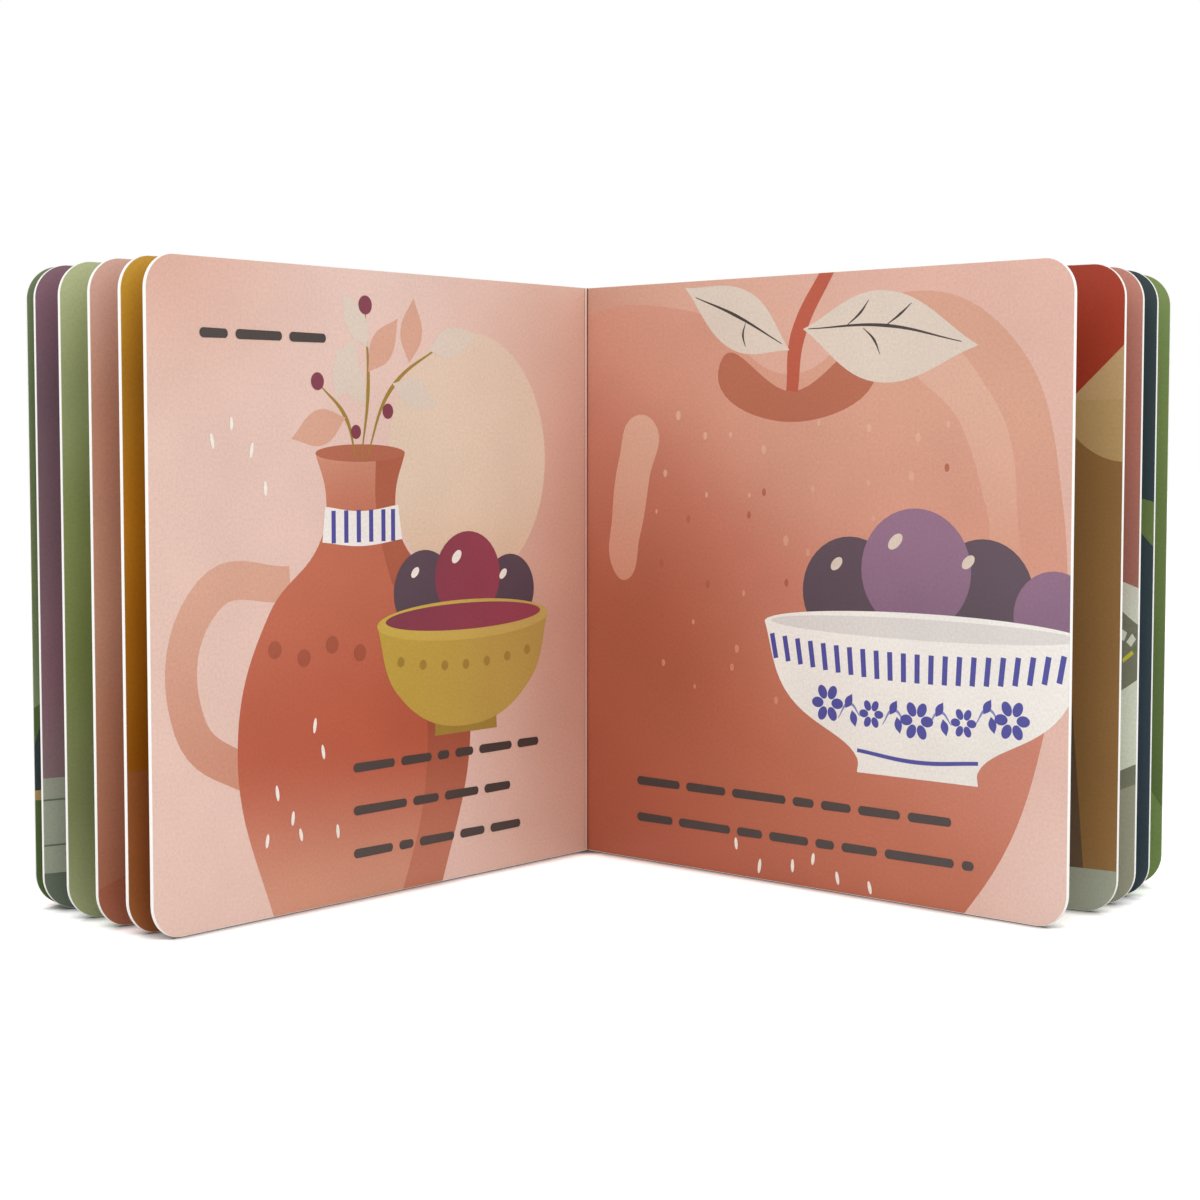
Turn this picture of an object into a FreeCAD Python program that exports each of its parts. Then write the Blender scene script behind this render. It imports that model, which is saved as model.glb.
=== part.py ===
import FreeCAD, Part
import math
import os

# A board book that stands open on its lower edges: a fan of thick leaves on each side of the gutter,
# two cover boards behind them, and a card spine that bows out behind the folds.
# Millimetres and degrees. X runs along the open book, Y away from the reader, Z up.
# The origin is the foot of the gutter, where the two facing pages meet.

# Leaves and cover boards
PAGE_WIDTH = 180.0
PAGE_HEIGHT = 180.0
CORNER_RADIUS = 9.5
LEAF_THICKNESS = 1.15
COVER_THICKNESS = 1.15

# Spine card, which is the printed wrap of the cover on its own
SPINE_THICKNESS = 0.55

# Angle of each leaf from the X axis towards the reader, from the open pages to the back of the fan
LEFT_LEAF_ANGLES = [51.1, 48.2, 44.1, 39.4, 34.6]
FRONT_COVER_ANGLE = 32.9
RIGHT_LEAF_ANGLES = [44.1, 35.4, 31.4, 27.3]
BACK_COVER_ANGLE = 21.7

# Derived sizes
FOLD_RADIUS = LEAF_THICKNESS / 2
SPINE_WIDTH = (
    (len(LEFT_LEAF_ANGLES) + len(RIGHT_LEAF_ANGLES)) * LEAF_THICKNESS
    + 2 * COVER_THICKNESS
    - SPINE_THICKNESS
)

LEFT = -1
RIGHT = 1
UP = FreeCAD.Vector(0, 0, 1)
GUTTER = FreeCAD.Vector(0, 0, 0)


def outward(side, angle):
    """Unit vector along a board, from its fold to its fore edge."""
    turn = math.radians(angle)
    return FreeCAD.Vector(side * math.cos(turn), -math.sin(turn), 0)


def backward(side, angle):
    """Unit vector square to a board, away from the reader."""
    turn = math.radians(angle)
    return FreeCAD.Vector(side * math.sin(turn), math.cos(turn), 0)


def line(start, end):
    return Part.LineSegment(start, end).toShape()


def arc(centre, start_direction, end_direction, radius):
    """Arc of less than half a turn about a centre, between two unit directions."""
    middle_direction = (start_direction + end_direction).normalize()
    points = [centre + d * radius for d in (start_direction, middle_direction, end_direction)]
    return Part.Arc(*points).toShape()


def board(fold, side, angle, thickness):
    """Board with a square edge at the fold and two rounded corners at the fore edge."""
    along = outward(side, angle)
    straight = PAGE_WIDTH - CORNER_RADIUS
    low_centre = fold + along * straight + UP * CORNER_RADIUS
    high_centre = fold + along * straight + UP * (PAGE_HEIGHT - CORNER_RADIUS)
    head = fold + UP * PAGE_HEIGHT
    edges = [
        line(fold, low_centre - UP * CORNER_RADIUS),
        arc(low_centre, UP * -1, along, CORNER_RADIUS),
        line(low_centre + along * CORNER_RADIUS, high_centre + along * CORNER_RADIUS),
        arc(high_centre, along, UP, CORNER_RADIUS),
        line(high_centre + UP * CORNER_RADIUS, head),
        line(head, fold),
    ]
    return Part.Face(Part.Wire(edges)).extrude(backward(side, angle) * thickness)


def fold_quarter(fold, start_direction, end_direction):
    """Quarter of the rounded back of a folded sheet, as tall as the page."""
    edges = [
        line(fold, fold + start_direction * FOLD_RADIUS),
        arc(fold, start_direction, end_direction, FOLD_RADIUS),
        line(fold + end_direction * FOLD_RADIUS, fold),
    ]
    return Part.Face(Part.Wire(edges)).extrude(UP * PAGE_HEIGHT)


def leaf_stack(side, angles):
    """Boards and fold backs of one side, with the fold line that its cover turns about."""
    pieces = []
    fold = GUTTER
    for number, angle in enumerate(angles):
        inward = outward(side, angle) * -1
        back = backward(side, angle)
        next_fold = fold + back * LEAF_THICKNESS
        pieces.append(board(fold, side, angle, LEAF_THICKNESS))
        pieces.append(fold_quarter(fold, inward, back))
        if number < len(angles) - 1:
            pieces.append(fold_quarter(next_fold, back * -1, inward))
        fold = next_fold
    return pieces, fold


def bow_half_angle(chord, length):
    """Half the angle of the arc of a given length over a given chord, by bisection."""
    low = 0.0
    high = math.pi
    for step in range(60):
        middle = (low + high) / 2
        if math.sin(middle) * length > chord * middle:
            low = middle
        else:
            high = middle
    return low


def crease(fold, side, angle):
    """Middle of the wrap card at a cover's inner edge, where the spine starts."""
    return fold + backward(side, angle) * (COVER_THICKNESS - SPINE_THICKNESS / 2)


def beyond_inner_edge(fold, side, angle):
    """Block that fills everything on a cover's side of its inner edge, near the spine."""
    reach = SPINE_WIDTH
    along = outward(side, angle)
    back = backward(side, angle)
    corners = [
        fold - back * reach,
        fold - back * reach + along * reach,
        fold + back * reach + along * reach,
        fold + back * reach,
    ]
    corners.append(corners[0])
    return Part.Face(Part.makePolygon(corners)).extrude(UP * PAGE_HEIGHT)


def make_spine(front_fold, back_fold):
    """Card strip that bows out behind the folds, from the crease of one cover to that of the other."""
    ends = [
        crease(front_fold, LEFT, FRONT_COVER_ANGLE),
        crease(back_fold, RIGHT, BACK_COVER_ANGLE),
    ]
    chord = ends[1] - ends[0]
    half_angle = bow_half_angle(chord.Length, SPINE_WIDTH)
    radius = chord.Length / 2 / math.sin(half_angle)
    away = UP.cross(chord).normalize()
    centre = (ends[0] + ends[1]) / 2 - away * radius * math.cos(half_angle)
    first = (ends[0] - centre).normalize()
    last = (ends[1] - centre).normalize()
    edges = []
    for r in (radius + SPINE_THICKNESS / 2, radius - SPINE_THICKNESS / 2):
        edges.append(Part.Arc(centre + first * r, centre + away * r, centre + last * r).toShape())
    for direction in (first, last):
        inner = centre + direction * (radius - SPINE_THICKNESS / 2)
        edges.append(line(inner, inner + direction * SPINE_THICKNESS))
    strip = Part.Face(Part.Wire(Part.__sortEdges__(edges))).extrude(UP * PAGE_HEIGHT)
    rounds = [Part.makeCylinder(SPINE_THICKNESS / 2, PAGE_HEIGHT, end) for end in ends]
    strip = strip.multiFuse(rounds)
    strip = strip.cut(beyond_inner_edge(front_fold, LEFT, FRONT_COVER_ANGLE))
    strip = strip.cut(beyond_inner_edge(back_fold, RIGHT, BACK_COVER_ANGLE))
    return strip.removeSplitter()


left_pieces, front_fold = leaf_stack(LEFT, LEFT_LEAF_ANGLES)
right_pieces, back_fold = leaf_stack(RIGHT, RIGHT_LEAF_ANGLES)
page_pieces = left_pieces + right_pieces

parts = {
    "page_block": page_pieces[0].multiFuse(page_pieces[1:]).removeSplitter(),
    "front_cover": board(front_fold, LEFT, FRONT_COVER_ANGLE, COVER_THICKNESS),
    "back_cover": board(back_fold, RIGHT, BACK_COVER_ANGLE, COVER_THICKNESS),
    "spine": make_spine(front_fold, back_fold),
}

os.makedirs("parts", exist_ok=True)
for name, shape in parts.items():
    box = shape.BoundBox
    print(name, "solids", len(shape.Solids), "valid", shape.isValid(), "volume", round(shape.Volume, 1))
    print("  x", round(box.XMin, 2), round(box.XMax, 2), "y", round(box.YMin, 2), round(box.YMax, 2))
    shape.exportStep("parts/" + name + ".step")
print("front cover fold", front_fold.x, front_fold.y)
print("back cover fold", back_fold.x, back_fold.y)
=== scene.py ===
import bpy
import bmesh
import math
import random
from mathutils import Matrix, Vector


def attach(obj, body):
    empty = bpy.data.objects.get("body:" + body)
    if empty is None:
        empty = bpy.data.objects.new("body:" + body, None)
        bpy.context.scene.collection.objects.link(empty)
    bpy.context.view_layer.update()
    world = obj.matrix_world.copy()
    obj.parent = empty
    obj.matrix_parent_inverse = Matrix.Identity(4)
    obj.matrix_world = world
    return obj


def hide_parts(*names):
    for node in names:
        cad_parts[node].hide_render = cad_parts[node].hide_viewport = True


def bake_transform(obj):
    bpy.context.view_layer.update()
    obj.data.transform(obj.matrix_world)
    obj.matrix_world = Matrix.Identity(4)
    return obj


# Board book standing open: white board core from the frame, with printed faces, folds and a flexing spine.
# Print is laid out in page millimetres, x to the right as that page is read and y up from its lower edge.

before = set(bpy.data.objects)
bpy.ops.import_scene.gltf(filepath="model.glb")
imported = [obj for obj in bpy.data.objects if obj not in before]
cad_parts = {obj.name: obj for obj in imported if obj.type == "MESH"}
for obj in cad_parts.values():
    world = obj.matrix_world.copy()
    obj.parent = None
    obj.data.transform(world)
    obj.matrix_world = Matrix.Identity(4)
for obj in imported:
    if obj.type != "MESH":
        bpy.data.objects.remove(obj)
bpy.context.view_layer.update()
print("frame loaded")

# Book facts, the same as the solids have them

book = {
    "page": 180.0,  # mm, both ways
    "corner": 9.5,  # mm, radius of the die-cut corners
    "board": 1.15,  # mm, thickness of a leaf or cover
    "wrapCard": 0.55,  # mm, thickness of the card round the spine
    "leftAngles": [51.1, 48.2, 44.1, 39.4, 34.6, 32.9],  # from the open page to the front cover
    "rightAngles": [44.1, 35.4, 31.4, 27.3, 21.7],  # from the open page to the back cover
}
mm = 0.001
up = Vector((0, 0, 1))


def fanBoards(side, angles, coverBody):  # one board on the back of the other, all hinged at their folds
    boards = []
    fold = Vector((0, 0, 0))
    for angle in angles:
        turn = math.radians(angle)
        along = Vector((side * math.cos(turn), -math.sin(turn), 0))
        back = Vector((side * math.sin(turn), math.cos(turn), 0))
        boards.append({"side": side, "along": along, "back": back, "fold": fold, "body": "book_block"})
        fold = fold + back * book["board"]
    boards[-1]["body"] = coverBody
    return boards


leftBoards = fanBoards(-1, book["leftAngles"], "front_cover")
rightBoards = fanBoards(1, book["rightAngles"], "back_cover")

# Materials


def linear(hexColour):  # sRGB hex to the linear colour that Blender's sockets take
    channels = [int(hexColour[i:i + 2], 16) / 255 for i in (1, 3, 5)]
    return [c / 12.92 if c <= 0.04045 else ((c + 0.055) / 1.055) ** 2.4 for c in channels] + [1.0]


def addNode(tree, kind, settings, links=None):
    # Settings with a capital first, or a number, are sockets; the others are the node's own options
    node = tree.nodes.new(kind)
    for key, value in settings.items():
        if isinstance(key, int) or key[0].isupper():
            node.inputs[key].default_value = value
        else:
            setattr(node, key, value)
    for key, source in (links or {}).items():
        tree.links.new(source, node.inputs[key])
    return node


def newMaterial(name, roughness, ior=1.5):
    material = bpy.data.materials.new(name)
    material.use_nodes = True
    shader = material.node_tree.nodes["Principled BSDF"]
    shader.inputs["Roughness"].default_value = roughness
    shader.inputs["IOR"].default_value = ior
    return material, material.node_tree, shader


printLook = {
    "grainSize": 0.85,  # mm, the mottle of offset ink under matt film
    "grainTint": 0.075,
    "grainHeight": 0.012,  # mm
    "grainStrength": 0.35,
    "noiseRange": (0.25, 0.75),  # where most of a noise's values lie
    "roughness": 0.52,
    "density": 0.962,  # share of an ink's written colour that the paper gives back
    "cloudSize": 34.0,  # mm, slow drift of the ink from one part of a page to another
    "cloudTint": 0.05,
}
inks = {}


def ink(name, stops, turn=90, start=0, end=180, pools=()):
    # Offset ink under matt laminated film: a soft gradient, a fine mottle and a dull even sheen.
    # Stops run from start to end, in millimetres, along the direction turn.
    # Pools are soft ellipses of another colour.
    material, tree, shader = newMaterial("matt laminated print " + name, printLook["roughness"])
    place = addNode(tree, "ShaderNodeTexCoord", {}).outputs["UV"]
    direction = (math.cos(math.radians(turn)), math.sin(math.radians(turn)), 0)
    reach = addNode(tree, "ShaderNodeVectorMath", {"operation": "DOT_PRODUCT", 1: direction}, {0: place})
    share = addNode(
        tree,
        "ShaderNodeMapRange",
        {"From Min": start / book["page"], "From Max": end / book["page"]},
        {"Value": reach.outputs["Value"]},
    )
    ramp = addNode(tree, "ShaderNodeValToRGB", {}, {"Fac": share.outputs["Result"]})
    ramp.color_ramp.interpolation = "EASE"
    while len(ramp.color_ramp.elements) < len(stops):
        ramp.color_ramp.elements.new(0.5)
    for number, colour in enumerate(stops):
        ramp.color_ramp.elements[number].position = number / max(1, len(stops) - 1)
        ramp.color_ramp.elements[number].color = linear(colour)
    if len(stops) == 1:
        ramp.color_ramp.elements[1].color = linear(stops[0])
    colour = ramp.outputs["Color"]
    for pool in pools:
        x, y = pool["at"]
        width, height = pool["size"]
        centre = (x / book["page"], y / book["page"], 0)
        spread = (book["page"] / width, book["page"] / height, 0)
        away = addNode(tree, "ShaderNodeVectorMath", {"operation": "SUBTRACT", 1: centre}, {0: place})
        scaling = {"operation": "MULTIPLY", 1: spread}
        scaled = addNode(tree, "ShaderNodeVectorMath", scaling, {0: away.outputs[0]})
        far = addNode(tree, "ShaderNodeVectorMath", {"operation": "LENGTH"}, {0: scaled.outputs[0]})
        fade = addNode(
            tree,
            "ShaderNodeMapRange",
            {"interpolation_type": "SMOOTHSTEP", "From Max": 1.0, "To Min": pool["share"], "To Max": 0.0},
            {"Value": far.outputs["Value"]},
        )
        mixed = addNode(
            tree,
            "ShaderNodeMix",
            {"data_type": "RGBA", 7: linear(pool["colour"])},
            {0: fade.outputs["Result"], 6: colour},
        )
        colour = mixed.outputs[2]
    grain = addNode(
        tree,
        "ShaderNodeTexNoise",
        {"Scale": book["page"] / printLook["grainSize"], "Detail": 2.0, "Roughness": 0.6},
        {"Vector": place},
    )
    cloudOptions = {"Scale": book["page"] / printLook["cloudSize"], "Detail": 2.0}
    cloud = addNode(tree, "ShaderNodeTexNoise", cloudOptions, {"Vector": place})
    least, most = printLook["noiseRange"]
    tints = ((grain, printLook["grainTint"], printLook["density"]), (cloud, printLook["cloudTint"], 1))
    for noise, tint, middle in tints:
        level = addNode(
            tree,
            "ShaderNodeMapRange",
            {"From Min": least, "From Max": most, "To Min": middle - tint, "To Max": middle + tint},
            {"Value": noise.outputs["Fac"]},
        )
        toned = addNode(
            tree,
            "ShaderNodeMix",
            {"data_type": "RGBA", "blend_type": "MULTIPLY", 0: 1.0},
            {6: colour, 7: level.outputs["Result"]},
        )
        colour = toned.outputs[2]
    tree.links.new(colour, shader.inputs["Base Color"])
    bump = addNode(
        tree,
        "ShaderNodeBump",
        {"Strength": printLook["grainStrength"], "Distance": printLook["grainHeight"] * mm},
        {"Height": grain.outputs["Fac"]},
    )
    tree.links.new(bump.outputs["Normal"], shader.inputs["Normal"])
    inks[name] = material


def boardCore():
    # White bleached board: pressed fibre with faint layers along the die-cut edge, dull and slightly warm.
    stock = {
        "fibre": 0.35,  # mm
        "layer": 0.22,  # mm
        "layerHeight": 0.02,  # mm
        "layerStrength": 0.4,
        "white": "#FFFEFB",
        "shade": "#F8F6F0",
        "roughness": 0.78,
        "ior": 1.47,
    }
    material, tree, shader = newMaterial("white board core", stock["roughness"], stock["ior"])
    place = addNode(tree, "ShaderNodeTexCoord", {}).outputs["Object"]
    fibreOptions = {"Scale": 1 / (stock["fibre"] * mm), "Detail": 3.0}
    fibre = addNode(tree, "ShaderNodeTexNoise", fibreOptions, {"Vector": place})
    layerOptions = {"Scale": 1 / (stock["layer"] * mm), "Detail": 1.0}
    layer = addNode(tree, "ShaderNodeTexNoise", layerOptions, {"Vector": place})
    mixed = addNode(
        tree,
        "ShaderNodeMix",
        {"data_type": "RGBA", 6: linear(stock["shade"]), 7: linear(stock["white"])},
        {0: fibre.outputs["Fac"]},
    )
    tree.links.new(mixed.outputs[2], shader.inputs["Base Color"])
    bump = addNode(
        tree,
        "ShaderNodeBump",
        {"Strength": stock["layerStrength"], "Distance": stock["layerHeight"] * mm},
        {"Height": layer.outputs["Fac"]},
    )
    tree.links.new(bump.outputs["Normal"], shader.inputs["Normal"])
    return material


core = boardCore()
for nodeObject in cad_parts.values():
    nodeObject.data.materials.clear()
    nodeObject.data.materials.append(core)

# Inks of the open pages
# Both grounds run darker towards the gutter; on the left page the first pool makes it darkest at mid-height
ink("pink left", ["#E4C4B6", "#E6C8BC", "#DDB4A2"], turn=0, pools=[
    {"at": (190, 74), "size": (80, 100), "colour": "#CB9480", "share": 0.8},
    {"at": (0, 186), "size": (80, 60), "colour": "#DBA996", "share": 0.8},
])
ink("pink right", ["#CF9C87", "#DBAA96", "#E0B2A1", "#E0B5A6"], turn=0, pools=[
    {"at": (190, 0), "size": (90, 90), "colour": "#E2C6BA", "share": 0.8},
])
ink("jug", ["#CF9479", "#B5573B", "#C06B50", "#D6A086"], start=-5, end=150)
ink("jug shade", ["#BD755A", "#9C4A31", "#AE5F45"], start=0, end=110)
ink("jug handle", ["#C98B72", "#D8A68F"], start=30, end=100)
ink("beige", ["#DFC2A5", "#E5D0B9", "#E2CBB6"], start=85, end=165)
ink("apple", ["#AF5C42", "#B96A4E", "#C8806A", "#D39680", "#D6A189"], turn=64, start=20, end=205, pools=[
    {"at": (30, 70), "size": (70, 92), "colour": "#A9563D", "share": 0.75},
    {"at": (104, 140), "size": (76, 52), "colour": "#D8A48C", "share": 0.5},
])
ink("apple light", ["#D08A70", "#DDAF99"], start=60, end=150)
ink("apple dark", ["#9E4B33", "#B4694F"], start=0, end=160)
ink("cream", ["#D6C6B5", "#DDCFC0"])
ink("cream bright", ["#F6F0E6"])
ink("ochre", ["#BFA23C", "#BB9C50"], turn=0, start=70, end=170)
ink("ochre rim", ["#CBB048", "#C9AC60"], turn=0, start=70, end=170)
ink("ochre dark", ["#9C7F2C", "#A3853B"], turn=0, start=70, end=170)
ink("plum", ["#7C3446", "#983F52"], turn=0, start=80, end=160)
ink("mauve", ["#775973", "#8F6C86"], start=60, end=110)
ink("night plum", ["#483B46", "#574653"], start=60, end=110)
ink("dark line", ["#3A312D"])
ink("word", ["#3A322F"])
ink("china white", ["#ECEAE2", "#F4F2EC"], start=30, end=85)
ink("china shade", ["#D3D0CC", "#DFDCD8"], start=30, end=85)
ink("indigo", ["#47499A"])
ink("indigo pale", ["#8489C0"])
ink("brick", ["#A9432D", "#B9573F"])
# Painted shade: the dark lines beside the gutter bead and in the corner of the gutter
ink("crease", ["#7E4632", "#8A5643", "#6E4436"])
# Painted highlight: the lighter colour of the gutter bead
ink("crease light", ["#DDB5A5", "#D9A997", "#EBCFC4"])
# Inks of the pages behind, from the foot of the page to its head
ink("ochre wall", ["#A46105", "#B57310", "#C4841A", "#C08926", "#D7A738"], start=44)
ink("umber floor", ["#A86433"])
ink("rose wall", ["#B8775B", "#C08568", "#CE9A80", "#CD977E", "#DEB4A3"])
ink("rose floor", ["#B46D51"])
ink("olive", ["#ACB283", "#8F9463", "#899356", "#939C60", "#A4AB78", "#C0C696"])
ink("olive dark", ["#66723F"])
ink("mauve wall", ["#927679", "#926C76", "#866770", "#7F616B", "#8C6673"], start=37)
ink("sage", ["#AEB39F"])
ink("sage dark", ["#6B7766"])
ink("leaf green", ["#91A075", "#919E79", "#7C885D", "#778558", "#7F8E68"])
ink("deep green", ["#5A6E3C"])
ink("ink blue", ["#343E44"])
ink("red", ["#AC3921"])
ink("sand", ["#CEAC7A"])
ink("tan", ["#C7A66F"])
ink("brown", ["#9B7341"])
ink("brown dark", ["#69533D"])
ink("dusk pink", ["#B37769", "#C38170", "#CA8D7D"], start=90)
ink("stone", ["#E6EAD8"])
ink("stone dark", ["#A6A48F"])
ink("slate", ["#81816E"])
ink("navy", ["#33444E", "#35464F", "#324347", "#344144"])
ink("moss", ["#5F7537", "#697E44", "#758A4A", "#7E9351", "#809455"], start=20)
ink("moss light", ["#7A9450"])
ink("yellow", ["#D9CF3C"])
ink("cover coral", ["#B55D47", "#C37159", "#CE8971"])
ink("cover coral deep", ["#A24F39"])
print("materials made:", len(inks) + 1)

# Shapes, each a small flat bmesh in page millimetres


def disc(x, y, width, height=None, turn=0, segments=40):
    shape = bmesh.new()
    size = Matrix.Diagonal((width / 2, (height or width) / 2, 1, 1))
    place = Matrix.Translation((x, y, 0)) @ Matrix.Rotation(math.radians(turn), 4, "Z") @ size
    bmesh.ops.create_circle(shape, cap_ends=True, segments=segments, radius=1, matrix=place)
    return shape


def sheet(left, low, right, high, segments=1):
    shape = bmesh.new()
    place = Matrix.Translation(((left + right) / 2, (low + high) / 2, 0))
    place = place @ Matrix.Diagonal(((right - left) / 2, (high - low) / 2, 1, 1))
    bmesh.ops.create_grid(shape, x_segments=segments, y_segments=1, size=1, matrix=place)
    return shape


def ridge(left, low, right, high, height):  # sheet that arches up between its upright sides
    shape = sheet(left, low, right, high, segments=8)
    for vert in shape.verts:
        vert.co.z = height * math.sin(math.pi * (vert.co.x - left) / (right - left))
    return shape


def wholePage():
    return sheet(0, 0, book["page"], book["page"])


def dash(x, y, length, height):  # bar with round ends
    middle = x + height / 2
    shape = disc(middle, y, height, segments=16)
    right = [v for v in shape.verts if v.co.x > middle + 0.01]
    bmesh.ops.translate(shape, verts=right, vec=(length - height, 0, 0))
    return shape


def fromCurve(curve):
    holder = bpy.data.objects.new("outline", curve)
    bpy.context.scene.collection.objects.link(holder)
    mesh = bpy.data.meshes.new_from_object(holder.evaluated_get(bpy.context.evaluated_depsgraph_get()))
    shape = bmesh.new()
    shape.from_mesh(mesh)
    bpy.data.meshes.remove(mesh)
    bpy.data.objects.remove(holder)
    bpy.data.curves.remove(curve)
    return shape


def addSpline(curve, points, closed):  # a point with a third value is a sharp corner
    spline = curve.splines.new("BEZIER")
    spline.bezier_points.add(len(points) - 1)
    spline.use_cyclic_u = closed
    for knot, point in zip(spline.bezier_points, points):
        knot.co = (point[0], point[1], 0)
        knot.handle_left_type = knot.handle_right_type = "VECTOR" if len(point) > 2 else "AUTO"
    return spline


def patch(*points):
    curve = bpy.data.curves.new("outline", "CURVE")
    curve.dimensions = "2D"
    curve.fill_mode = "BOTH"
    curve.resolution_u = 12
    addSpline(curve, points, True)
    return fromCurve(curve)


def stroke(width, *points, tip=0.25):  # drawn line that thins towards both ends
    curve = bpy.data.curves.new("outline", "CURVE")
    curve.dimensions = "3D"
    curve.twist_mode = "Z_UP"
    curve.resolution_u = 10
    curve.bevel_depth = width / 2
    curve.bevel_resolution = 0
    spline = addSpline(curve, points, False)
    spline.bezier_points[0].radius = spline.bezier_points[-1].radius = tip
    shape = fromCurve(curve)
    hidden = [f for f in shape.faces if f.normal.z < 0.01]
    bmesh.ops.delete(shape, geom=hidden, context="FACES")
    bmesh.ops.scale(shape, verts=shape.verts, vec=(1, 1, 0))
    return shape


def leafShape(x, y, length, width, turn):  # pointed leaf from its stalk at x, y
    shape = patch((0, 0, 1), (length * 0.45, width / 2), (length, 0, 1), (length * 0.45, -width / 2))
    place = Matrix.Translation((x, y, 0)) @ Matrix.Rotation(math.radians(turn), 4, "Z")
    bmesh.ops.transform(shape, matrix=place, verts=shape.verts)
    return shape


# Pages: each printed face is one piece, its shapes stacked a few microns apart

paper = {"firstLayer": 0.008, "layerStep": 0.003, "whiteRim": 0.1, "cornerSteps": 12}  # mm


def pageEdges(foldAtLeft):  # points and outward directions of the page's straight and round edges
    page = book["page"]
    rim = paper["whiteRim"]
    radius = book["corner"] - rim
    fore = 1 if foldAtLeft else -1
    foldX = 0 if foldAtLeft else page
    edges = [
        (Vector((foldX, 0, 0)), Vector((-fore, 0, 0))),
        (Vector((page - foldX - fore * rim, 0, 0)), Vector((fore, 0, 0))),
        (Vector((0, page - rim, 0)), Vector((0, 1, 0))),
        (Vector((0, rim, 0)), Vector((0, -1, 0))),
    ]
    centreX = page - foldX - fore * book["corner"]
    for high in (-1, 1):
        centre = Vector((centreX, page / 2 + high * (page / 2 - book["corner"]), 0))
        for step in range(1, paper["cornerSteps"]):
            turn = math.pi / 2 * step / paper["cornerSteps"]
            outward = Vector((fore * math.cos(turn), high * math.sin(turn), 0))
            edges.append((centre + outward * radius, outward))
    return edges


def newPage(name, board, face):
    front = face == "front"
    foldAtLeft = (board["side"] == 1) == front
    normal = -board["back"] if front else board["back"]
    start = board["fold"] if front else board["fold"] + board["back"] * book["board"]
    reading = board["along"] if foldAtLeft else -board["along"]
    corner = start if foldAtLeft else start + board["along"] * book["page"]
    place = Matrix.Translation(corner) @ Matrix((reading, up, normal)).transposed().to_4x4()
    page = {"name": name, "place": place, "edges": pageEdges(foldAtLeft), "body": board["body"]}
    page.update({"mesh": bmesh.new(), "inks": [], "height": paper["firstLayer"]})
    page["mesh"].loops.layers.uv.new("page")
    return page


def printOn(page, inkName, *shapes):  # shapes printed together share one layer
    if inkName not in page["inks"]:
        page["inks"].append(inkName)
    for shape in shapes:
        for point, outward in page["edges"]:
            if any((v.co - point).dot(outward) > 0 for v in shape.verts):
                everything = shape.verts[:] + shape.edges[:] + shape.faces[:]
                bmesh.ops.bisect_plane(
                    shape, geom=everything, dist=1e-5, plane_co=point, plane_no=outward, clear_outer=True
                )
        bmesh.ops.translate(shape, verts=shape.verts, vec=(0, 0, page["height"]))
        uv = shape.loops.layers.uv.new("page")
        for face in shape.faces:
            face.normal_update()
            if face.normal.z < 0:
                face.normal_flip()
            face.material_index = page["inks"].index(inkName)
            face.smooth = False
            for loop in face.loops:
                loop[uv].uv = loop.vert.co.xy / book["page"]
        mesh = bpy.data.meshes.new("layer")
        shape.to_mesh(mesh)
        page["mesh"].from_mesh(mesh)
        bpy.data.meshes.remove(mesh)
        shape.free()
    page["height"] += paper["layerStep"]


def makeObject(name, shape, materials):
    mesh = bpy.data.meshes.new(name)
    shape.to_mesh(mesh)
    shape.free()
    for material in materials:
        mesh.materials.append(material)
    made = bpy.data.objects.new(name, mesh)
    bpy.context.scene.collection.objects.link(made)
    return made


def finishPage(page):
    bmesh.ops.transform(page["mesh"], matrix=Matrix.Scale(mm, 4) @ page["place"], verts=page["mesh"].verts)
    made = makeObject(page["name"], page["mesh"], [inks[name] for name in page["inks"]])
    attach(made, page["body"])


# Rows of plain rounded bars of unlike lengths, set in lines

words = {"thickness": 2.7, "gap": 2.7, "lineStep": 12.4}  # mm


def wordRow(x, y, lengths):
    bars = []
    for length in lengths:
        bars.append(dash(x, y, length, words["thickness"]))
        x += length + words["gap"]
    return bars


def petals(seed, left, low, right, high, count):  # small upright drops, each in a column of its own
    chance = random.Random(seed)
    drops = []
    for number in range(count):
        x = left + (right - left) * (number + 0.5 * chance.random()) / count
        y = low + (high - low) * chance.random()
        drops.append(disc(x, y, 1.3, 3.6 + chance.random(), turn=chance.uniform(-14, 14), segments=14))
    return drops


def rosette(x, y, size):  # round flower of petals about an eye
    parts = []
    for number in range(6):
        turn = 60 * number
        across = x + math.cos(math.radians(turn)) * size * 0.3
        high = y + math.sin(math.radians(turn)) * size * 0.3
        parts.append(disc(across, high, size * 0.36, size * 0.26, turn, 16))
    return parts


# Left open page: a jug with a sprig, a pale sun and a bowl of plums


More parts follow.
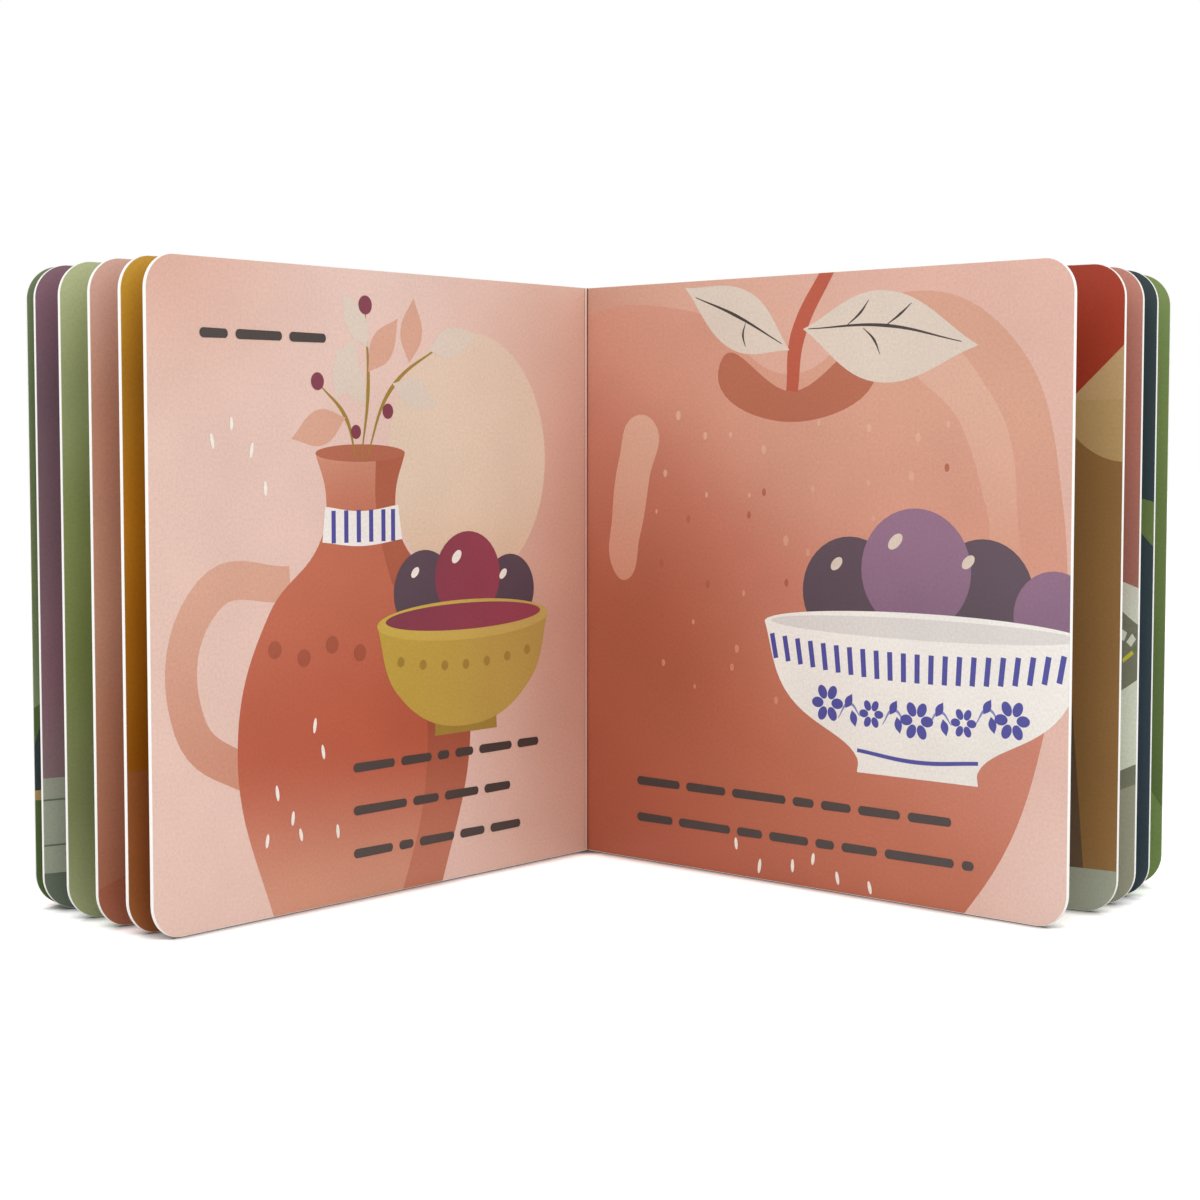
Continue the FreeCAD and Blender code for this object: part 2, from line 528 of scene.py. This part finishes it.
def leftPage():
    page = newPage("print_left_open_page", leftBoards[0], "front")
    printOn(page, "pink left", wholePage())
    printOn(page, "beige", disc(124, 126, 70, 76, segments=64))
    printOn(page, "jug handle", stroke(11, (50, 92), (20, 90), (13, 56), (38, 38), tip=0.9))
    rightSide = [(96, 128, 1), (92, 116), (94, 104), (114, 84), (124, 48), (112, 2), (108, -6, 1)]
    leftSide = [(46, -6, 1), (42, 2), (30, 48), (42, 84), (62, 104), (64, 116)]
    printOn(page, "jug", patch((60, 128, 1), *rightSide, *leftSide))
    shadeSide = [(92, -6, 1), (104, 30), (102, 66), (88, 96), (84, 112), (84, 128, 1)]
    printOn(page, "jug shade", patch(*rightSide, *shadeSide))
    printOn(page, "apple dark", disc(78, 128, 36, 5))
    sprig(page)
    collar = [(62.4, 103, 1), (78, 101.5), (94.6, 103, 1), (93, 113, 1), (78, 111.5), (63.6, 113, 1)]
    printOn(page, "china white", patch(*collar))
    printOn(page, "indigo", *[sheet(x, 102.6, x + 1.7, 111.8) for x in (66, 71, 76, 81, 86, 90)])
    printOn(page, "jug shade", *[disc(44 + 11 * n, 74 - 3 * (n % 2), 5, segments=20) for n in range(4)])
    plumBowl(page)
    printOn(page, "cream bright", *petals(4, 40, 17, 70, 60, 7), *petals(5, 20, 112, 46, 138, 4))
    printOn(page, "word", *wordRow(18, 160, [10, 17, 14]))
    rows = [[17, 13, 5, 8, 15, 10], [22, 11, 15, 12], [16, 6, 15, 11, 14]]
    for number, lengths in enumerate(rows):
        printOn(page, "word", *wordRow(74, 38 - number * words["lineStep"], lengths))
    finishPage(page)


def sprig(page):
    stems = [
        [(76, 126), (72, 138), (62, 147)],
        [(78, 126), (81, 146), (80, 168)],
        [(80, 126), (90, 146), (112, 160)],
    ]
    for stem in stems:
        printOn(page, "ochre dark", stroke(1.4, *stem))
    leaves = [(72, 138, 22, 10, 196), (68, 143, 20, 9, 66), (80, 142, 20, 9, 128), (81, 151, 20, 9, 52)]
    leaves += [(81, 158, 18, 8, 124), (91, 148, 20, 9, 342), (98, 154, 19, 9, 84), (106, 158, 22, 9, 14)]
    for number, leaf in enumerate(leaves):
        printOn(page, "cream" if number % 3 else "jug handle", leafShape(*leaf))
    printOn(page, "plum", disc(61, 148, 5), disc(80, 170, 5.4), disc(89, 140, 4.4), disc(76, 134, 4))


def plumBowl(page):
    bowl = [(84, 78, 1), (92, 58), (122, 46), (152, 58), (160, 78, 1)]
    printOn(page, "night plum", disc(104, 87, 26, 25), disc(142, 86, 23, 22))
    printOn(page, "plum", disc(123, 91, 29, 27))
    printOn(page, "ochre dark", patch((108, 44, 1), (110, 52), (134, 52), (136, 44, 1)))
    printOn(page, "ochre", patch(*bowl))
    printOn(page, "ochre rim", disc(122, 78, 76, 12, segments=64))
    printOn(page, "plum", disc(122, 79, 69, 8, segments=64))
    dots = [disc(122 + 9.4 * n, 64.5 + 0.28 * n * n, 3, segments=16) for n in range(-3, 4)]
    printOn(page, "ochre dark", *dots)
    shines = [disc(118, 97, 5, 3, 40, 16), disc(100, 93, 4, 2.4, 40, 16), disc(139, 91, 4, 2.4, 40, 16)]
    printOn(page, "cream bright", *shines)


# Right open page: one great apple that fills it, and a blue and white bowl of plums that runs off the edge


def rightPage():
    page = newPage("print_right_open_page", rightBoards[0], "front")
    printOn(page, "pink right", wholePage())
    apple = [(84, 151), (44, 171), (-12, 164), (-40, 104), (-28, 44), (12, -10), (66, -22), (90, -12)]
    apple += [(114, -22), (150, 4), (174, 60), (177, 116), (160, 160), (124, 173)]
    printOn(page, "apple", patch(*apple))
    light = [(126, 160), (154, 144), (163, 110), (160, 84), (153, 112), (144, 136)]
    printOn(page, "apple light", patch(*light))
    printOn(page, "apple dark", patch((56, 155), (84, 146), (114, 156), (84, 137)))
    printOn(page, "brick", stroke(5.5, (84, 146), (86, 162), (98, 182), tip=0.8))
    printOn(page, "cream", leafShape(88, 164, 62, 26, -6), leafShape(83, 158, 46, 18, 154))
    veins = [stroke(1.0, (90, 164), (118, 164), (144, 158.7)), stroke(1.0, (80, 160), (62, 169), (46, 175))]
    veins.append(stroke(0.8, (104, 164.4), (109, 168), (112, 171.5)))
    veins.append(stroke(0.8, (118, 164), (123, 167), (127, 170)))
    veins.append(stroke(0.8, (110, 163.6), (114, 160), (116, 156)))
    veins.append(stroke(0.8, (66, 166.6), (65, 163), (66, 159.5)))
    printOn(page, "dark line", *veins)
    shine = [(20, 139), (30, 136), (27, 120), (23, 102), (17, 88), (11, 92), (11, 108), (14, 126)]
    printOn(page, "apple light", patch(*shine))
    speckle(page)
    chinaBowl(page)
    printOn(page, "cream bright", *petals(8, 62, 2, 122, 10, 6))
    printOn(page, "word", *wordRow(22, 25, [18, 16, 21, 8, 11, 15, 15]))
    printOn(page, "word", *wordRow(22, 13.5, [15, 21, 10, 15, 7, 13, 24, 4]))
    finishPage(page)


def speckle(page):
    chance = random.Random(23)
    light, dark = [], []
    for row in range(6):
        for column in range(8):
            x = 34 + 15 * column + chance.uniform(-6, 6)
            y = 134 - 15 * row + chance.uniform(-6, 6)
            size = chance.uniform(0.9, 2.1)
            (light if chance.random() < 0.7 else dark).append(disc(x, y, size, size * 1.5, segments=12))
    printOn(page, "apple light", *light)
    printOn(page, "apple dark", *dark)


def chinaBowl(page):
    middle, rim, foot = 130, 78, 36  # mm across and up the page
    width, footWidth = 112, 42
    half, footHalf = width / 2, footWidth / 2
    printOn(page, "night plum", disc(106, 88, 35, 32), disc(152, 89, 33, 31))
    printOn(page, "mauve", disc(129, 95, 38, 35), disc(175, 84, 26, 25))
    shines = [disc(122, 103, 6, 3.4, 40, 16), disc(101, 96, 5, 3, 40, 16), disc(147, 98, 5, 3, 40, 16)]
    printOn(page, "cream", *shines)
    side = [(half - 8, 58), (footHalf, foot + 4), (footHalf, foot, 1)]
    body = [(middle + half, rim, 1)] + [(middle + x, y, *sharp) for x, y, *sharp in side]
    body += [(middle - x, y, *sharp) for x, y, *sharp in reversed(side)] + [(middle - half, rim, 1)]
    printOn(page, "china white", patch(*body))
    printOn(page, "china white", disc(middle, rim, width, 10, segments=72))
    printOn(page, "china shade", disc(middle, rim + 0.4, width - 5, 6, segments=72))
    bands = []
    for number in range(23):
        across = (number - 11) / 11.6 * half
        bend = (across / half) ** 2
        top = (middle + across, 71.4 + 3.4 * bend)
        bottom = (middle + across * 0.97, 63.2 + 4.4 * bend)
        bands.append(stroke(2.1, top, bottom, tip=0.85))
    printOn(page, "indigo", *bands)
    vines, leaves, flowers, eyes = [], [], [], []
    for number in range(-2, 3):
        x = middle + number * 16
        y = 52.6 + 0.0026 * (x - middle) ** 2
        flowers += rosette(x, y, 9 if number % 2 else 12)
        eyes.append(disc(x, y, 2.3, segments=14))
        if number > -2:
            vines.append(stroke(1.0, (x - 12, y - 2), (x - 8, y + 2.4), (x - 4, y - 1)))
            leaves += [leafShape(x - 9.4, y + 1, 5, 2.6, 60), leafShape(x - 7, y + 0.6, 5, 2.6, 285)]
    printOn(page, "indigo pale", *vines)
    printOn(page, "indigo", *leaves)
    printOn(page, "indigo", *flowers[::2])
    printOn(page, "indigo", *flowers[1::2])
    printOn(page, "china white", *eyes)
    footLine = [(middle - footHalf, 42.4), (middle, 40.8), (middle + footHalf, 42.4)]
    printOn(page, "indigo", stroke(1.2, *footLine, tip=0.9))


leftPage()
rightPage()
print("open pages printed")

# Pages behind: a wall, a floor and plain orchard and kitchen shapes that run on across each gutter


def motifPear(x, y, size, inkName):
    body = [(x, y + size), (x + size * 0.16, y + size * 0.7), (x + size * 0.36, y + size * 0.3), (x, y)]
    body += [(x - size * 0.36, y + size * 0.3), (x - size * 0.16, y + size * 0.7)]
    stalkLine = [(x, y + size * 0.97), (x + size * 0.02, y + size * 1.1), (x + size * 0.07, y + size * 1.18)]
    stalk = stroke(size * 0.045, *stalkLine, tip=0.7)
    leaf = leafShape(x + size * 0.03, y + size * 1.05, size * 0.34, size * 0.14, 18)
    return [(inkName, [patch(*body)]), ("dark line", [stalk]), ("cream", [leaf])]


def motifBowl(x, y, width, inkName):
    body = [(x - width / 2, y, 1), (x - width * 0.4, y - width * 0.22), (x, y - width * 0.34)]
    body += [(x + width * 0.4, y - width * 0.22), (x + width / 2, y, 1)]
    return [(inkName, [patch(*body)]), ("cream", [disc(x, y, width, width * 0.12)])]


def motifHill(x, y, width, inkName):
    slope = [(x - width / 2, y, 1), (x - width * 0.2, y + width * 0.2)]
    slope += [(x + width * 0.16, y + width * 0.16), (x + width / 2, y, 1)]
    return [(inkName, [patch(*slope)])]


def motifTree(x, y, size, inkName):
    trunk = stroke(size * 0.09, (x, y), (x + size * 0.02, y + size * 0.3), (x, y + size * 0.62), tip=0.8)
    branches = []
    for high, across in ((0.3, 0.18), (0.38, -0.18)):
        tip = (x + size * across, y + size * (high + 0.2))
        branches.append(stroke(size * 0.04, (x, y + size * high), tip))
    crown = disc(x, y + size * 0.66, size * 0.74, size * 0.8)
    return [(inkName, [crown]), ("brown", [trunk]), ("brown", branches)]


def motifSun(x, y, size, inkName):
    return [(inkName, [disc(x, y, size)])]


def motifSprig(x, y, size, inkName):
    stalk = stroke(size * 0.03, (x, y), (x + size * 0.1, y + size * 0.5), (x, y + size))
    leaves = []
    for number in range(4):
        height = y + size * (0.2 + 0.2 * number)
        leaves.append(leafShape(x + size * 0.07, height, size * 0.34, size * 0.14, 35))
        leaves.append(leafShape(x + size * 0.05, height + size * 0.06, size * 0.34, size * 0.14, 145))
    return [("dark line", [stalk]), (inkName, leaves)]


def corners(*points):  # straight-sided patch
    return [(x, y, 1) for x, y in points]


def roundPoints(x, y, radius):  # closed ring of smooth points
    turns = [math.radians(45 * number) for number in range(8)]
    return [(x + radius * math.cos(turn), y + radius * math.sin(turn)) for turn in turns]


motifs = {
    "pear": motifPear,
    "bowl": motifBowl,
    "hill": motifHill,
    "tree": motifTree,
    "sun": motifSun,
    "sprig": motifSprig,
}


def printSpread(name, leftBoard, leftFace, rightBoard, rightFace, design):
    halves = (("left", leftBoard, leftFace, 0), ("right", rightBoard, rightFace, 180))
    for half, board, face, offset in halves:
        page = newPage("print_" + name + "_" + half, board, face)
        printOn(page, design["wall"], wholePage())
        if "floor" in design:
            printOn(page, design["floor"], sheet(-1, -1, 181, design["horizon"]))
        for kind, x, y, size, inkName in design["shapes"]:
            for partInk, shapes in motifs[kind](x - offset, y, size, inkName):
                printOn(page, partInk, *shapes)
        for inkName, points in design.get("patches", {}).get(half, []):
            printOn(page, inkName, patch(*points))
        if half == design.get("words"):
            printOn(page, "word", *wordRow(26, 24, [16, 9, 20, 12, 17]))
            printOn(page, "word", *wordRow(26, 12, [20, 14, 10, 18]))
        finishPage(page)


# From the front cover inwards on the left, then outwards on the right to the back cover
leftSpreads = {
    "orchard": {
        "wall": "leaf green",
        "shapes": [("hill", 120, 0, 380, "deep green"), ("sun", 250, 140, 44, "cream"),
                   ("tree", 110, 34, 96, "olive"), ("tree", 270, 17, 80, "olive"),
                   ("pear", 190, 20, 38, "ochre")],
        "patches": {"left": [("ink blue", corners((-1, 33.2), (24, 33.8), (20, 62), (1.5, 50.4), (-1, 42))),
                             ("tan", corners((-1, 30.6), (16, 29.6), (16, 33.6), (-1, 33.2)))]},
    },
    "mauve_kitchen": {
        "wall": "mauve wall", "floor": "sage", "horizon": 37.4, "words": "right",
        "shapes": [("bowl", 100, 68, 92, "brick"), ("pear", 92, 68, 44, "ochre"),
                   ("pear", 122, 70, 36, "olive"), ("sprig", 262, 37, 96, "cream")],
        "patches": {"left": [("sage dark", corners((-1, 31.0), (60, 31.0), (60, 31.5), (-1, 31.5))),
                             ("sage dark", corners((-1, 18.2), (76, 18.2), (76, 18.7), (-1, 18.7))),
                             ("sage dark", corners((-1, -1), (181, -1), (181, 10), (-1, 10.6)))],
                    "right": [("sage dark", corners((-1, -1), (181, -1), (181, 8), (-1, 10)))]},
    },
    "olive_hills": {
        "wall": "olive",
        "shapes": [("sun", 100, 138, 50, "cream"), ("hill", 200, 22, 290, "olive dark"),
                   ("tree", 130, 44, 72, "deep green"), ("tree", 250, 36, 86, "deep green"),
                   ("pear", 310, 26, 40, "brick")],
        "patches": {"left": [("olive dark", corners((30, -1), (55, 22.2), (181, 22.2), (181, -1)))],
                    "right": [("olive dark", corners((-1, -1), (-1, 22.2), (165, 22.2), (176, -1)))]},
    },
    "rose_table": {
        "wall": "rose wall", "words": "left",
        "shapes": [("pear", 110, 21, 90, "brick"), ("bowl", 250, 55, 110, "cream"),
                   ("sun", 232, 69, 34, "plum"), ("sun", 268, 67, 30, "night plum")],
        "patches": {"left": [("rose floor", corners((-1, -1), (181, -1), (181, 21), (30, 21), (-1, 10.4)))],
                    "right": [("rose floor", corners((-1, -1), (181, -1), (181, 14), (-1, 21)))]},
    },
    "ochre_shelf": {
        "wall": "ochre wall", "floor": "umber floor", "horizon": 44,
        "shapes": [("sprig", 96, 44, 96, "cream"), ("bowl", 96, 62, 54, "brick"),
                   ("bowl", 270, 76, 96, "navy"), ("pear", 262, 74, 52, "olive"),
                   ("pear", 294, 76, 40, "brick")],
    },
}
for number, (name, design) in enumerate(leftSpreads.items()):
    printSpread(name, leftBoards[5 - number], "front", leftBoards[4 - number], "back", design)

rightSpreads = {
    "umber_room": {
        "wall": "brown", "floor": "sage", "horizon": 12,
        "shapes": [("bowl", 90, 42, 90, "ochre"), ("pear", 84, 38, 60, "red"),
                   ("sprig", 240, 12, 104, "cream")],
        "patches": {"right": [("brown dark", corners((124, 12), (170, 12), (164.5, 76), (140, 96))),
                              ("tan", roundPoints(183, 150, 24.5)),
                              ("sand", corners((158.7, 142.6), (181, 142.8), (181, 181), (158, 181))),
                              ("red", corners((120, 181), (181, 181), (181, 158.7), (166.7, 145.1),
                                              (150, 129), (134, 150)))]},
    },
    "rose_garden": {
        "wall": "dusk pink",
        "shapes": [("sun", 90, 140, 46, "cream"), ("tree", 90, 60, 90, "moss"),
                   ("pear", 250, 96, 62, "red")],
        "patches": {"left": [("stone", corners((-1, -1), (181, -1), (181, 96), (-1, 84)))],
                    "right": [("stone", corners((-1, -1), (181, -1), (181, 89.8), (-1, 158))),
                              ("slate", [(150, 98), (181, 79.2, 1), (181, 65, 1), (172, 59.8), (146, 60),
                                         (132, 84)]),
                              ("stone", corners((174.6, 79), (176.8, 77.6), (176.0, 75.2), (174, 76))),
                              ("stone", corners((176.6, 74.9), (178.3, 77.4), (179.4, 75.8), (178, 73.6))),
                              ("moss", [(178.7, 73.2), (179.3, 73.9), (179.9, 73.1), (179.3, 72.4)]),
                              ("yellow", corners((175.6, 70.2), (178.3, 72.6), (178.8, 71.6), (175.8, 69))),
                              ("slate", corners((120, 12), (181, 41), (181, 35.4), (140, 12))),
                              ("stone dark", corners((100, -1), (181, -1), (181, 35.3), (128, 12)))]},
    },
    "night_orchard": {
        "wall": "navy",
        "shapes": [("sun", 250, 134, 52, "cream"), ("hill", 120, 0, 300, "ink blue"),
                   ("tree", 90, 30, 96, "slate"), ("tree", 210, 22, 70, "slate"),
                   ("pear", 296, 14, 40, "ochre")],
        "patches": {"right": [("moss", [(120, 128, 1), (150, 122), (181, 113.8, 1), (181, 100.2, 1),
                                        (160, 120.6), (136, 130)])]},
    },
    "meadow": {
        "wall": "moss",
        "shapes": [("sprig", 60, 20, 100, "cream"), ("sprig", 110, 14, 76, "cream"),
                   ("pear", 232, 34, 76, "red")],
        "patches": {"left": [("moss light", corners((-1, -1), (181, -1), (181, 40), (-1, 20)))],
                    "right": [("moss light", corners((-1, -1), (181, -1), (181, 22), (150, 68), (-1, 40)))]},
    },
}
for number, (name, design) in enumerate(rightSpreads.items()):
    printSpread(name, rightBoards[number], "back", rightBoards[number + 1], "front", design)
print("pages behind printed")

# Outside of the covers: a plain coral wrap, one pear on the front and a sprig on the back


def coverPrint():
    front = newPage("print_front_cover_outside", leftBoards[-1], "back")
    printOn(front, "cover coral", wholePage())
    printOn(front, "cream", disc(90, 92, 118, 118, segments=72))
    sprigs = motifSprig(42, 40, 50, "olive") + motifSprig(134, 40, 50, "olive")
    for partInk, shapes in motifPear(90, 44, 82, "brick") + sprigs:
        printOn(front, partInk, *shapes)
    printOn(front, "cover coral deep", sheet(4.6, -1, 5.0, 181))
    finishPage(front)
    back = newPage("print_back_cover_outside", rightBoards[-1], "back")
    printOn(back, "cover coral", wholePage())
    for partInk, shapes in motifSprig(86, 62, 60, "cream"):
        printOn(back, partInk, *shapes)
    printOn(back, "cover coral deep", sheet(175.0, -1, 175.4, 181))
    finishPage(back)


coverPrint()
print("covers printed")

# Creases and folds


def gutterBead():
    # The score beside the gutter: a low bead pressed up on the left page, coloured as a painted highlight,
    # between two thin lines of painted shade; one more line of painted shadow lies in the corner of the
    # gutter on the right page
    bead = {
        "from": 0.35,  # mm from the gutter
        "to": 1.3,
        "height": 0.12,
        "base": 0.1,  # just above all the layers of print
        "fine": 0.13,  # width of the line of painted shade on the far side
        "valley": 0.3,  # width of the line of painted shadow in the gutter corner on the right page
    }
    gutter = book["page"]
    page = newPage("print_gutter_bead_painted_highlight_and_shade", leftBoards[0], "front")
    page["height"] = bead["base"]
    arch = ridge(gutter - bead["to"], 0, gutter - bead["from"], gutter, bead["height"])
    # the bead carries a painted highlight
    printOn(page, "crease light", arch)
    fine = sheet(gutter - bead["to"] - bead["fine"], 0, gutter - bead["to"], gutter)
    # painted shade on both sides of the bead
    printOn(page, "crease", fine, sheet(gutter - bead["from"], 0, gutter, gutter))
    finishPage(page)
    page = newPage("print_gutter_valley_painted_shadow", rightBoards[0], "front")
    page["height"] = bead["base"]
    # painted shadow in the corner of the gutter
    printOn(page, "crease", sheet(0, 0, bead["valley"], gutter))
    finishPage(page)


curveSteps = {"fold": 14, "spine": 20, "crease": 20}


def turned(name, centre, radii, fromDirection, angle, steps, materials):
    # Curved strip as tall as the page: a flat blade at its first end, spun about an upright line
    shape = bmesh.new()
    blade = []
    for radius, height in ((radii[0], 0), (radii[1], 0), (radii[1], book["page"]), (radii[0], book["page"])):
        blade.append(shape.verts.new(centre + fromDirection * radius + up * height))
    shape.faces.new(blade)
    everything = shape.verts[:] + shape.edges[:] + shape.faces[:]
    bmesh.ops.spin(shape, geom=everything, cent=centre, axis=up, angle=angle, steps=steps)
    bmesh.ops.remove_doubles(shape, verts=shape.verts, dist=1e-4)
    bmesh.ops.recalc_face_normals(shape, faces=shape.faces)
    middle = (radii[0] + radii[1]) / 2
    for face in shape.faces:
        outer = (face.calc_center_median() - centre).xy.length > middle and abs(face.normal.z) < 0.5
        face.material_index = len(materials) - 1 if outer else 0
    return finishUpright(name, shape, materials)


def finishUpright(name, shape, materials):
    # Millimetres to metres, smooth round the sides, print laid on from behind
    uv = shape.loops.layers.uv.new("page")
    for face in shape.faces:
        face.smooth = abs(face.normal.z) < 0.5
        for loop in face.loops:
            loop[uv].uv = (loop.vert.co.x / book["page"] + 0.5, loop.vert.co.z / book["page"])
    bmesh.ops.scale(shape, verts=shape.verts, vec=(mm, mm, mm))
    return makeObject(name, shape, materials)


def coverFold(name, leaf, cover):
    # Back of the folded sheet that joins the last leaf to the cover's inside, unprinted board on its outside
    fold = cover["fold"]
    start = -leaf["back"]
    sweep = -start.xy.angle_signed(cover["back"].xy)  # counter-clockwise positive, as the spin is
    if sweep * cover["side"] > 0:  # the curve goes by way of the spine side
        sweep -= cover["side"] * 2 * math.pi
    made = turned(name, fold, (0.0, book["board"] / 2), start, sweep, curveSteps["fold"], [core])
    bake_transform(made)


def spineHalf(name, cover, centre, radius, away, angle):
    reach = book["wrapCard"] / 2
    radii = (radius - reach, radius + reach)
    made = turned(name, centre, radii, away, angle, curveSteps["spine"], [core, inks["cover coral"]])
    crease = cover["fold"] + cover["back"] * (book["board"] - reach)
    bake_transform(made)
    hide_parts("spine")
    roundOff = bmesh.new()
    bmesh.ops.create_cone(
        roundOff,
        cap_ends=True,
        segments=curveSteps["crease"],
        radius1=reach,
        radius2=reach,
        depth=book["page"],
        matrix=Matrix.Translation(crease + up * book["page"] / 2),
    )
    edge = finishUpright(name + "_crease", roundOff, [inks["cover coral"]])
    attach(edge, cover["body"])


def spineCard():
    # Wrap card between the two creases: as long as the closed spine, so it bows out when the book is open
    reach = book["board"] - book["wrapCard"] / 2
    front = leftBoards[-1]["fold"] + leftBoards[-1]["back"] * reach
    back = rightBoards[-1]["fold"] + rightBoards[-1]["back"] * reach
    chord = back - front
    length = (len(leftBoards) + len(rightBoards)) * book["board"] - book["wrapCard"]
    low, high = 0.0, math.pi
    for halving in range(60):  # half the angle of the arc that has this length over this chord
        half = (low + high) / 2
        low, high = (half, high) if math.sin(half) * length > chord.length * half else (low, half)
    radius = chord.length / 2 / math.sin(half)
    away = up.cross(chord).normalized()
    centre = (front + back) / 2 - away * radius * math.cos(half)
    spineHalf("spine_front_half", leftBoards[-1], centre, radius, away, half)
    spineHalf("spine_back_half", rightBoards[-1], centre, radius, away, -half)


gutterBead()
coverFold("fold_at_front_cover", leftBoards[-2], leftBoards[-1])
coverFold("fold_at_back_cover", rightBoards[-2], rightBoards[-1])
spineCard()
print("folds and spine made")

# Floor, light and camera

studio = {
    "world": 0.80,
    "floor": "#F4F4F4",
    "floorSize": 6.0,  # m, half of its side
    "floorDrop": 0.0002,  # m below the lower edges
    "floorRoughness": 0.9,
    "floorGain": 2.1,  # how much brighter the camera sees the floor, so that it runs into the white
    "paintedShadowReach": 0.008,  # m, how far the painted contact shadow spreads over the floor
    "paintedShadowRange": (0.45, 0.97),  # share of open sky at which the painted contact shadow is darkest and is gone
    # brightness of the painted contact shadow at its darkest
    "paintedShadowDark": 0.14,
    "camera": (4.0, -741.0, 130.0),  # mm from the foot of the gutter
    "pitch": 3.80,  # degrees below level
    "lens": 69.56,
    "aim": (0, -0.05, 0.08),  # m, where both lamps point
    "lamps": {
        "key": {"place": (-0.5, -1.3, 1.1), "size": (1.6, 1.2), "power": 6.5},
        "fill": {"place": (0.9, -1.2, 0.8), "size": (1.4, 1.2), "power": 4.6},
    },
}


def backdropRays(tree):
    # One for the rays that show the backdrop: straight, in a reflection or through glass
    rays = addNode(tree, "ShaderNodeLightPath", {})
    shows = rays.outputs["Is Camera Ray"]
    for kind in ("Is Glossy Ray", "Is Transmission Ray"):
        either = addNode(tree, "ShaderNodeMath", {"operation": "MAXIMUM"}, {0: shows, 1: rays.outputs[kind]})
        shows = either.outputs["Value"]
    return shows


def makeFloor():
    shape = bmesh.new()
    bmesh.ops.create_grid(shape, x_segments=1, y_segments=1, size=studio["floorSize"])
    bmesh.ops.translate(shape, verts=shape.verts, vec=(0, 0, -studio["floorDrop"]))
    # Plain matt white towards the object. The camera sees it brighter, so that it runs into the background,
    # with a painted contact shadow: a thin dark line from ambient occlusion where something stands near.
    material, tree, shader = newMaterial("white studio floor", studio["floorRoughness"])
    shader.inputs["Base Color"].default_value = linear(studio["floor"])
    # painted contact shadow: the floor the camera sees darkens by how much sky is shut off close by
    near = addNode(tree, "ShaderNodeAmbientOcclusion", {"samples": 8, "Distance": studio["paintedShadowReach"]})
    darkest, gone = studio["paintedShadowRange"]
    brightness = {"To Min": studio["paintedShadowDark"], "To Max": studio["floorGain"]}
    bright = addNode(
        tree,
        "ShaderNodeMapRange",
        {"From Min": darkest, "From Max": gone, **brightness},
        {"Value": near.outputs["AO"]},
    )
    shown = addNode(tree, "ShaderNodeBsdfDiffuse", {}, {"Color": bright.outputs["Result"]})
    seen = addNode(
        tree,
        "ShaderNodeMixShader",
        {},
        {0: backdropRays(tree), 1: shader.outputs["BSDF"], 2: shown.outputs["BSDF"]},
    )
    tree.links.new(seen.outputs["Shader"], tree.nodes["Material Output"].inputs["Surface"])
    floor = makeObject("studio_floor", shape, [material])


def makeWorld():
    world = bpy.data.worlds.new("white studio")
    bpy.context.scene.world = world
    world.use_nodes = True
    tree = world.node_tree
    strength = addNode(
        tree,
        "ShaderNodeMapRange",
        {"To Min": studio["world"], "To Max": 1.0},
        {"Value": backdropRays(tree)},
    )
    tree.nodes["Background"].inputs["Color"].default_value = (1, 1, 1, 1)
    tree.links.new(strength.outputs["Result"], tree.nodes["Background"].inputs["Strength"])


def softLamp(name, setting):
    lamp = bpy.data.lights.new(name, "AREA")
    lamp.shape = "RECTANGLE"
    lamp.size, lamp.size_y = setting["size"]
    lamp.energy = setting["power"]
    made = bpy.data.objects.new(name, lamp)
    made.location = setting["place"]
    towards = Vector(studio["aim"]) - Vector(setting["place"])
    made.rotation_euler = towards.to_track_quat("-Z", "Y").to_euler()
    bpy.context.scene.collection.objects.link(made)


def makeCamera():
    camera = bpy.data.cameras.new("camera")
    camera.lens = studio["lens"]
    camera.sensor_width = 36
    made = bpy.data.objects.new("camera", camera)
    made.location = Vector(studio["camera"]) * mm
    made.rotation_euler = (math.radians(90 - studio["pitch"]), 0, 0)
    bpy.context.scene.collection.objects.link(made)
    bpy.context.scene.camera = made


makeFloor()
makeWorld()
for lampName, lampSetting in studio["lamps"].items():
    softLamp(lampName, lampSetting)
makeCamera()
bpy.context.scene.view_settings.view_transform = "Standard"
print("studio ready")
